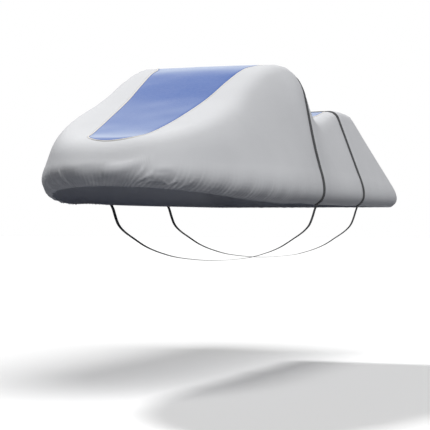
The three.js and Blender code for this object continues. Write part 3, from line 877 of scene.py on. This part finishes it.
def thread_material(name, colour):
    material, tree, shader, place = new_material(name)
    worn = group_node(tree, weather, {"Place": place.outputs["Object"], "Size": 60.0})
    shades = [[share * c for c in colour] for share in (1 - THREAD_FADE, 1 + THREAD_FADE)]
    faded = colour_mix(tree, worn.outputs["Tone"], *shades)
    tree.links.new(faded, shader.inputs["Base Color"])
    twist = node(tree, "ShaderNodeTexWave", inputs={"Vector": place.outputs["Object"], "Scale": 900.0})
    bump = node(tree, "ShaderNodeBump",
                inputs={"Strength": 0.3, "Distance": 0.0001, "Height": twist.outputs[1]})
    tree.links.new(bump.outputs[0], shader.inputs["Normal"])
    shader.inputs["Roughness"].default_value = 0.5
    return material


def stitch_row(name, line, material):
    """Stitches along a line of points that closes on itself."""
    mesh = bpy.data.meshes.new(name + " route")
    mesh.from_pydata(line.tolist(), [(k, (k + 1) % len(line)) for k in range(len(line))], [])
    route = bpy.data.objects.new(name + " route", mesh)
    bpy.context.scene.collection.objects.link(route)
    modifier = route.modifiers.new("stitches", "NODES")
    modifier.node_group = stitching
    wanted = {"Pitch": STITCH_PITCH, "Length": STITCH_LENGTH, "Thickness": STITCH_THICKNESS,
              "Thread": material}
    for socket in stitching.interface.items_tree:
        if socket.name in wanted:
            modifier[socket.identifier] = wanted[socket.name]
    evaluated = route.evaluated_get(bpy.context.evaluated_depsgraph_get())
    stitched = bpy.data.meshes.new_from_object(evaluated)
    bpy.data.objects.remove(route)
    made = bpy.data.objects.new(name, stitched)
    bpy.context.scene.collection.objects.link(made)
    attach(made, "root")


def line_round(height, from_seam):
    """A line on the cloth all round at heights over the hem, one for each column of one half."""
    around = height[None] + np.array([[.002], [0], [-.002]])
    rings, normals, _ = cloth_rings(around, np.abs(from_seam) + 0 * around)
    return rings[1] + normals[1] * (STITCH_LIFT + STITCH_THICKNESS * STITCH_PROUD)


grey_thread = thread_material("grey_thread", GREY_THREAD)
blue_thread = thread_material("blue_thread", BLUE_THREAD)
below_seam = line_round(seam_height - STITCH_FROM_SEAM, STITCH_FROM_SEAM)
above_seam = line_round(seam_height + STITCH_FROM_SEAM, STITCH_FROM_SEAM)
casing_top = line_round(CASING + 0 * seam_height, FAR_FROM_SEAM)
stitch_row("seam_stitches_grey", below_seam, grey_thread)
stitch_row("seam_stitches_blue", above_seam, blue_thread)
stitch_row("hem_stitches", casing_top, grey_thread)


# ---- Straps over the cover ----------------------------------------------------------------------
# Two charcoal webbing straps, 38 mm wide, that cross over behind the handlebars and over the seat
# and are sewn to the hem at both sides. They are drawn tight, so they press the cloth flat.

WEBBING = 0.0015
STRAP_GAP = 0.00035
STRAP_ROWS = 150
STRIP_REACH = (-0.1, 0.16)
STRIP_COLUMNS = 60
STRAP_ACROSS = (-1, -.96, -.86, -.55, 0, .55, .86, .96, 1)
STRAP_EDGE = (.35, .80, .97, 1, 1, 1, .97, .80, .35)
CHEVRON = 0.0042
RIB = 0.0019
WEBBING_DARK = (0.050, 0.051, 0.053)
WEBBING_LIGHT = (0.090, 0.092, 0.095)


def webbing_material():
    """Ribbed herringbone webbing: rows of chevrons in the bump, and painted shade between the ribs."""
    material, tree, shader, place = new_material("dark_webbing")
    uv = node(tree, "ShaderNodeSeparateXYZ", inputs={0: place.outputs["UV"]})
    zigzag = math_node(tree, "PINGPONG", uv.outputs[0], CHEVRON)
    slanted = math_node(tree, "ADD", uv.outputs[1], zigzag)
    ribs = math_node(tree, "SINE", math_node(tree, "MULTIPLY", slanted, 2 * math.pi / RIB))
    woven = group_node(tree, weave, {"Place": place.outputs["UV"], "Thread": FINE_THREAD})
    worn = group_node(tree, weather, {"Place": place.outputs["Object"], "Size": 7.0})
    height = math_node(tree, "MULTIPLY_ADD", woven.outputs["Height"], 0.25, ribs)
    # Painted shade between the ribs, on top of uneven tone.
    uneven = math_node(tree, "ADD", ribs, worn.outputs["Tone"])
    shade = node(tree, "ShaderNodeMapRange", inputs={0: uneven, 1: -1.0, 2: 2.0})
    mixed = colour_mix(tree, shade.outputs[0], WEBBING_DARK, WEBBING_LIGHT)
    tree.links.new(mixed, shader.inputs["Base Color"])
    rough = node(tree, "ShaderNodeMapRange", inputs={0: worn.outputs["Tone"], 3: 0.68, 4: 0.82})
    tree.links.new(rough.outputs[0], shader.inputs["Roughness"])
    bump = node(tree, "ShaderNodeBump", inputs={"Strength": 0.6, "Distance": 0.0002, "Height": height})
    tree.links.new(bump.outputs[0], shader.inputs["Normal"])
    shader.inputs["Specular IOR Level"].default_value = 0.12
    return material


def webbing_strap(name, face, normals, node_name):
    """A strap of webbing on a strip of points, rows of them along it and the same across it."""
    edge = np.array(STRAP_EDGE)
    top = face + normals * (WEBBING * (0.5 + 0.5 * edge))[None, :, None]
    low = (face + normals * (WEBBING * (0.5 - 0.5 * edge))[None, :, None])[:, ::-1]
    loops = np.concatenate([top, low], axis=1).transpose(1, 0, 2)
    rings, rows = loops.shape[:2]
    faces = grid_faces(rings, rows, True, False)
    along_it = run_length(face[:, len(STRAP_ACROSS) // 2])
    wide = np.array(STRAP_ACROSS) * STRAP_WIDTH / 2
    up = np.concatenate([wide, wide[::-1]])[:, None] + np.zeros(rows)
    uvs = grid_uvs(along_it, up, rings, rows, True, False)[..., ::-1]
    made = mesh_object(name, loops, faces, uvs, dark_webbing)
    weld(made)
    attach(made, "root")
    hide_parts(node_name)
    return made


def place_amidships(aft):
    return SIDE + (aft - BOW_LENGTH) / (QUARTER_AFT - BOW_LENGTH)


def strip_over_cover(strap):
    """Points of the cloth under a strap, from the port hem over the top to the starboard hem. Its
    width is measured along the cloth, so that it stays the same on the crest's slope."""
    ahead, astern = [place_amidships(strap["aft"] + reach) for reach in STRIP_REACH]
    near = np.linspace(ahead, astern, STRIP_COLUMNS)
    rows = np.linspace(HEM_ROW, 0, STRAP_ROWS)[:, None] + np.zeros(len(near))
    cloth = cloth_points(near, rows)
    middle = len(near) // 2
    port = []
    for row in cloth:
        length = run_length(row)
        up = row[middle, 2] - CLOTH + top_height(0, CREST_AFT)
        centre = np.interp(strap_aft(strap, up) - CREST_AFT, row[:, 1], length)
        across = centre + np.array(STRAP_ACROSS) * STRAP_WIDTH / 2
        port.append([np.interp(across, length, row[:, axis]) for axis in range(3)])
    port = np.array(port).transpose(0, 2, 1)
    return np.concatenate([port, port[-2::-1] * (-1, 1, 1)])


def strip_normals(face):
    return unit(np.cross(np.gradient(face, axis=1), np.gradient(face, axis=0)))


dark_webbing = webbing_material()
for end, strap in STRAPS.items():
    face = strip_over_cover(strap)
    outwards = strip_normals(face)
    webbing = webbing_strap(f"{end}_strap", face + outwards * STRAP_GAP, outwards, f"strap_{end}")


# ---- Tie-down straps ----------------------------------------------------------------------------
# The same webbing, sewn to each strap where it turns in over the tuck. It hangs slack under the
# hull from side to side.

BELLY_OUT = (.559, .545, .527, .494, .444, .372, .290, .180, 0)
BELLY_UP = (-.022, -.066, -.106, -.140, -.174, -.218, -.250, -.276, -.289)
ON_TUCK = (4.10, 4.50, 4.90)
BELLY_STEPS = 110
CURVE_STEPS = 24


def through(points, steps):
    """A smooth curve through points, its steps evenly spaced."""
    padded = np.concatenate([2 * points[:1] - points[1:2], points, 2 * points[-1:] - points[-2:-1]])
    pieces = []
    for k in range(1, len(padded) - 2):
        a, b, c, d = padded[k - 1:k + 3]
        t = np.linspace(0, 1, CURVE_STEPS, endpoint=False)[:, None]
        pieces.append(b + 0.5 * t * (c - a) + t ** 2 * (a - 2.5 * b + 2 * c - 0.5 * d)
                      + t ** 3 * (1.5 * (b - c) + 0.5 * (d - a)))
    fine = np.concatenate([*pieces, points[-1:]])
    run = run_length(fine)
    even = np.linspace(0, run[-1], steps)
    return np.stack([np.interp(even, run, fine[:, k]) for k in range(fine.shape[1])], -1)


def belly_route(aft):
    """The strap's middle line across the boat, as out and up in the row's own frame."""
    s = np.array([place_amidships(aft)])
    lift = CLOTH - top_height(0, CREST_AFT)
    tuck = cloth_points(s, np.array(ON_TUCK)[:, None])[:, 0, ::2]
    run = unit(np.gradient(tuck, axis=0))
    sewn = tuck + plan(-run[:, 1], run[:, 0]) * (2 * STRAP_GAP + 1.5 * WEBBING)
    port = np.array([*sewn, *[(out, up + lift) for out, up in zip(BELLY_OUT, BELLY_UP)]])
    return through(np.concatenate([port, port[-2::-1] * (-1, 1)]), BELLY_STEPS)


for end, strap in STRAPS.items():
    route = belly_route(strap["aft"])
    run = unit(np.gradient(route, axis=0))
    across = strap["aft"] - CREST_AFT + np.array(STRAP_ACROSS) * STRAP_WIDTH / 2
    face = np.stack(np.broadcast_arrays(route[:, :1], across, route[:, 1:]), -1)
    # It hangs as a U from port to starboard, and its normals point in towards the hull.
    normals = np.stack(np.broadcast_arrays(run[:, 1:], 0 * across, -run[:, :1]), -1)
    webbing = webbing_strap(
        f"{end}_tie_down_strap", face - normals * WEBBING / 2, normals, f"belly_strap_{end}")


# ---- Floor, backdrop and light ------------------------------------------------------------------
# A pale studio floor in a white surround that gives little light itself. The key lamp stands high
# over the starboard quarter, and a wide soft one over the port bow. Their directions and the key's
# spread come from the same numeric fit as the crown.

FLOOR_BELOW = 0.62
FLOOR_UP = cad_box[0][2] - FLOOR_BELOW
FLOOR_HALF = 60
FLOOR_CORNERS = ((-1, -1), (1, -1), (1, 1), (-1, 1))
FLOOR_SEEN = 0.84
FLOOR_BOUNCE = (0.138, 0.143, 0.161)
LAMPS = {
    "key": {"from": (-.541, .393, .743), "spread": 8, "energy": 2.32},
    "fill": {"from": (.454, -.395, .799), "spread": 50, "energy": 2.93},
}
SKY_LOW = 0.08
SKY_HIGH = 0.03
SKY_BAND = 0.42

floor_mesh = bpy.data.meshes.new("studio_floor")
floor_points = [(FLOOR_HALF * x, FLOOR_HALF * y, FLOOR_UP) for x, y in FLOOR_CORNERS]
floor_mesh.from_pydata(floor_points, [], [(0, 1, 2, 3)])
floor = bpy.data.objects.new("studio_floor", floor_mesh)
bpy.context.scene.collection.objects.link(floor)
floor_paint = bpy.data.materials.new("studio_floor")
floor_paint.use_nodes = True
floor_tree = floor_paint.node_tree
floor_shader = floor_tree.nodes["Principled BSDF"]


def seen_directly(tree):
    """1 for the rays that show the surround to the viewer, straight or in a reflection."""
    rays = tree.nodes.new("ShaderNodeLightPath")
    straight = math_node(tree, "ADD", rays.outputs["Is Camera Ray"], rays.outputs["Is Glossy Ray"])
    return node(tree, "ShaderNodeMath", {"operation": "ADD", "use_clamp": True},
                {0: straight, 1: rays.outputs["Is Transmission Ray"]}).outputs[0]


floor_colour = colour_mix(floor_tree, seen_directly(floor_tree), FLOOR_BOUNCE, (FLOOR_SEEN,) * 3)
floor_tree.links.new(floor_colour, floor_shader.inputs["Base Color"])
floor_shader.inputs["Roughness"].default_value = 0.9
floor_shader.inputs["Specular IOR Level"].default_value = 0.0
floor_mesh.materials.append(floor_paint)

world = bpy.data.worlds.new("studio")
bpy.context.scene.world = world
world.use_nodes = True
sky = world.node_tree
background = sky.nodes["Background"]
sky_place = sky.nodes.new("ShaderNodeTexCoord")
sky_up = node(sky, "ShaderNodeSeparateXYZ", inputs={0: sky_place.outputs["Generated"]})
sky_shade = node(sky, "ShaderNodeMapRange", {"interpolation_type": "SMOOTHSTEP"},
                 {0: sky_up.outputs[2], 1: 0.0, 2: SKY_BAND, 3: SKY_LOW, 4: SKY_HIGH})
sky_colour = colour_mix(sky, seen_directly(sky), sky_shade.outputs[0], (1.0,) * 3)
sky.links.new(sky_colour, background.inputs["Color"])
background.inputs["Strength"].default_value = 1.0

for name, values in LAMPS.items():
    lamp = bpy.data.objects.new(name, bpy.data.lights.new(name, "SUN"))
    lamp.data.energy = values["energy"]
    lamp.data.angle = math.radians(values["spread"])
    lamp.rotation_euler = mathutils.Vector(values["from"]).to_track_quat("Z", "Y").to_euler()
    bpy.context.scene.collection.objects.link(lamp)

bpy.context.scene.view_settings.view_transform = "Standard"
